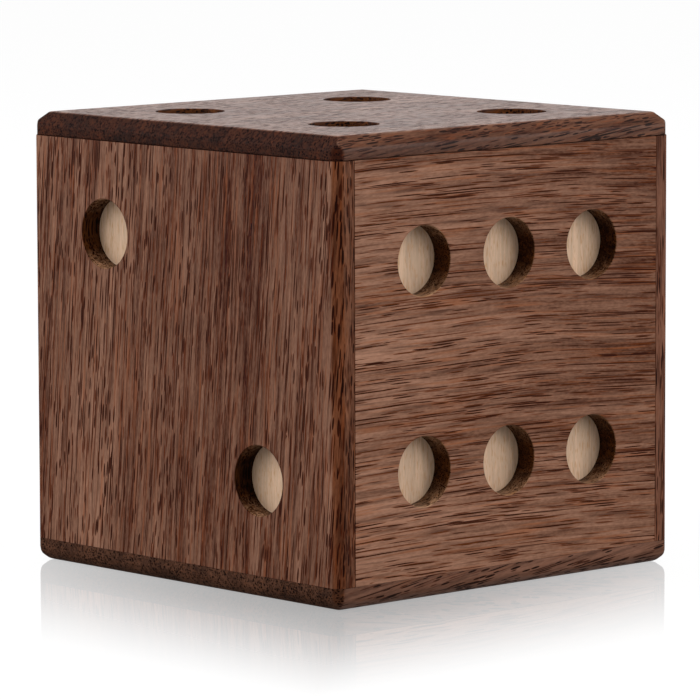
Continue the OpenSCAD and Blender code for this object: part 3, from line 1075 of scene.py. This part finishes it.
class DICE_BOX_OT_screws(bpy.types.Operator):
    """Drives the hinge screws"""
    bl_idname = "dice_box.screws"
    bl_label = "Hinge screws"

    def execute(self, context):
        metal = brass("turned_brass")
        for node, lid in (("wall_screws", False), ("lid_screws", True)):
            low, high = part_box(node)
            places = [(x, y, leaf_level(lid)) for x, y in screw_places()]
            group = new_piece(node + "_brass", bmesh.new(), metal)
            turn = UPSIDE_DOWN if lid else UPRIGHT
            at_points(group, places, threaded_screw(high.z - low.z), turn, metal, boring=False)
            dress(even_normals(group), node)
        return {"FINISHED"}


class DICE_BOX_OT_magnets(bpy.types.Operator):
    """Sets the catch magnets"""
    bl_idname = "dice_box.magnets"
    bl_label = "Catch magnets"

    def execute(self, context):
        metal = nickel("nickel_plate")
        for node in ("wall_magnets", "lid_magnets"):
            low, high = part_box(node)
            r = magnet_radius()
            e = MAGNET_EDGE
            half = (high.z - low.z) / 2
            foot = [(r - e, -half), (r - 0.3 * e, -half + 0.3 * e), (r, -half + e)]
            group = new_piece(node + "_nickel", bmesh.new(), metal)
            disc = even_ended(foot, half)
            at_points(group, magnet_places(low.z + half), disc, UPRIGHT, metal, boring=False)
            dress(even_normals(group), node)
        return {"FINISHED"}


# Stage

# Even light of the surroundings, and what gloss sees overhead
WORLD_LIGHT = 0.64
CEILING_GLOSS = 0.3
# The floor's mirror image at the box, and how far out and towards the side corners it dies away
MIRROR_SHARE = 0.58
MIRROR_FADE = 102 * MM
CORNER_FADE = 135 * MM
FLOOR_SIZE = 6.0
# Place, width, height and power of each lamp, in metres and watts
LAMPS = (
    ("key_left", (-1.27, 0.79, 0.62), 1.3, 1.4, 17.0),
    ("key_right", (0.79, -1.27, 0.62), 1.3, 1.4, 15.8),
    ("top", (0.0, 0.2, 1.5), 1.2, 1.2, 6.0),
)


def camera():
    """The photograph's view, from the fitted place and angles."""
    forward = Vector((
        -math.sin(CAMERA_YAW) * math.cos(CAMERA_PITCH),
        math.cos(CAMERA_YAW) * math.cos(CAMERA_PITCH),
        math.sin(CAMERA_PITCH)))
    level = forward.cross(Vector((0, 0, 1))).normalized()
    upright = level.cross(forward)
    right = level * math.cos(CAMERA_ROLL) + upright * math.sin(CAMERA_ROLL)
    up = right.cross(forward)
    data = bpy.data.cameras.new("camera")
    data.sensor_width = SENSOR
    data.lens = FOCAL_PIXELS / IMAGE_PIXELS * SENSOR
    data.clip_end = CLIP_END
    eye = bpy.data.objects.new("camera", data)
    turn = Matrix((right, up, -forward)).transposed().to_4x4()
    turn.translation = CAMERA_PLACE
    eye.matrix_world = turn
    bpy.context.scene.collection.objects.link(eye)
    bpy.context.scene.camera = eye


def softbox(name, place, width, height, power):
    """A large soft light aimed at the middle of the cube."""
    data = bpy.data.lights.new(name, "AREA")
    data.shape = "RECTANGLE"
    data.size = width
    data.size_y = height
    data.energy = power
    lamp = bpy.data.objects.new(name, data)
    lamp.location = place
    aim = Vector((0, 0, HEIGHT / 2)) - Vector(place)
    lamp.rotation_euler = aim.to_track_quat("-Z", "Y").to_euler()
    bpy.context.scene.collection.objects.link(lamp)


def studio_world():
    """Even pale light. The camera sees plain white, and so do gloss and glass near the horizon."""
    world = bpy.data.worlds.new("studio")
    world.use_nodes = True
    world.node_tree.nodes.clear()
    put = partial(add, world.node_tree)
    rays = put("LightPath").outputs
    seen = put("Math", (rays["Is Camera Ray"], rays["Is Glossy Ray"]), "ADD")
    seen = put("Math", (seen, rays["Is Transmission Ray"]), "ADD", use_clamp=True)
    glow = put("Background", ((1, 1, 1, 1), WORLD_LIGHT))
    toward = put("TexCoord").outputs["Generated"]
    high = put("SeparateXYZ", (toward,)).outputs[2]
    fade = put("MapRange", (high, 0.4, 0.65, 1.0, CEILING_GLOSS))
    plain_white = put("Math", (fade, rays["Is Camera Ray"]), "MAXIMUM")
    white = put("Background", ((1, 1, 1, 1), plain_white))
    mix = put("MixShader", (seen, glow, white))
    put("OutputWorld", (mix,))
    bpy.context.scene.world = world


def pale_floor():
    """White acrylic sheet: seen as white, with a mirror image of the box that fades away from it."""
    material, put = new_material("white_acrylic")
    place = put("TexCoord").outputs["Object"]
    parts = put("SeparateXYZ", (place,)).outputs
    side_x = put("Math", (parts[0],), "ABSOLUTE")
    side_y = put("Math", (parts[1],), "ABSOLUTE")
    far = put("Math", (side_x, side_y), "MAXIMUM")
    fade = put("MapRange", (far, WIDTH / 2, WIDTH / 2 + MIRROR_FADE, MIRROR_SHARE, 0.0),
               interpolation_type="SMOOTHSTEP")
    # Weaker towards the two side corners, which stand further back
    apart = put("Math", (parts[0], parts[1]), "SUBTRACT")
    apart = put("Math", (apart, CORNER_FADE), "DIVIDE")
    apart = put("Math", (apart, apart), "MULTIPLY")
    corner = put("Math", (apart, -0.4, 1.0), "MULTIPLY_ADD", use_clamp=True)
    share = put("Math", (fade, corner), "MULTIPLY")
    rays = put("LightPath").outputs
    matt = put("BsdfDiffuse", {"Color": linear("#8c8c8c")})
    faint = put("BsdfDiffuse", {"Color": (0.12, 0.12, 0.12, 1)})
    white = put("Emission", {"Color": (1, 1, 1, 1), "Strength": 0.9})
    lit = put("AddShader", (faint, white))
    mirror = put("BsdfGlossy", {"Color": (1, 1, 1, 1), "Roughness": 0.005})
    sheen = put("MixShader", (share, lit, mirror))
    seen = put("MixShader", (rays["Is Camera Ray"], matt, sheen))
    pale = put("Emission", {"Color": (1, 1, 1, 1), "Strength": 0.3})
    gloss = put("Math", (rays["Is Glossy Ray"], rays["Is Transmission Ray"]), "MAXIMUM")
    mix = put("MixShader", (gloss, seen, pale))
    put("OutputMaterial", (mix,))
    return material


class DICE_BOX_OT_stage(bpy.types.Operator):
    """Sets up the camera, the lights and the pale floor"""
    bl_idname = "dice_box.stage"
    bl_label = "Stage"

    def execute(self, context):
        camera()
        studio_world()
        for lamp in LAMPS:
            softbox(*lamp)
        bm = bmesh.new()
        bmesh.ops.create_grid(bm, x_segments=1, y_segments=1, size=FLOOR_SIZE)
        floor = new_piece("floor", bm, pale_floor())
        context.scene.view_settings.view_transform = "Standard"
        return {"FINISHED"}


class DICE_BOX_PT_panel(bpy.types.Panel):
    """Lists the steps that dress the dice box"""
    bl_label = "Dice box"
    bl_space_type = "VIEW_3D"
    bl_region_type = "UI"
    bl_category = "Dice box"

    def draw(self, context):
        for group in (context.scene.dice_box_sizes, context.scene.dice_box_colours):
            for key in group.bl_rna.properties.keys():
                if key not in ("rna_type", "name"):
                    self.layout.prop(group, key)
        for step in STEPS:
            self.layout.operator(step.bl_idname)


STEPS = (
    DICE_BOX_OT_walnut, DICE_BOX_OT_lining, DICE_BOX_OT_hinges, DICE_BOX_OT_screws, DICE_BOX_OT_magnets,
    DICE_BOX_OT_stage)
CLASSES = (DiceBoxSizes, DiceBoxColours, *STEPS, DICE_BOX_PT_panel)


def register():
    """Adds the settings, the steps and the panel to Blender."""
    for cls in CLASSES:
        bpy.utils.register_class(cls)
    bpy.types.Scene.dice_box_sizes = PointerProperty(type=DiceBoxSizes)
    bpy.types.Scene.dice_box_colours = PointerProperty(type=DiceBoxColours)


def unregister():
    """Takes the settings, the steps and the panel out again."""
    del bpy.types.Scene.dice_box_colours
    del bpy.types.Scene.dice_box_sizes
    for cls in reversed(CLASSES):
        bpy.utils.unregister_class(cls)


def main():
    """Runs every step in order."""
    register()
    bpy.ops.dice_box.walnut()
    bpy.ops.dice_box.lining()
    bpy.ops.dice_box.hinges()
    bpy.ops.dice_box.screws()
    bpy.ops.dice_box.magnets()
    bpy.ops.dice_box.stage()


if __name__ == "__main__":
    main()
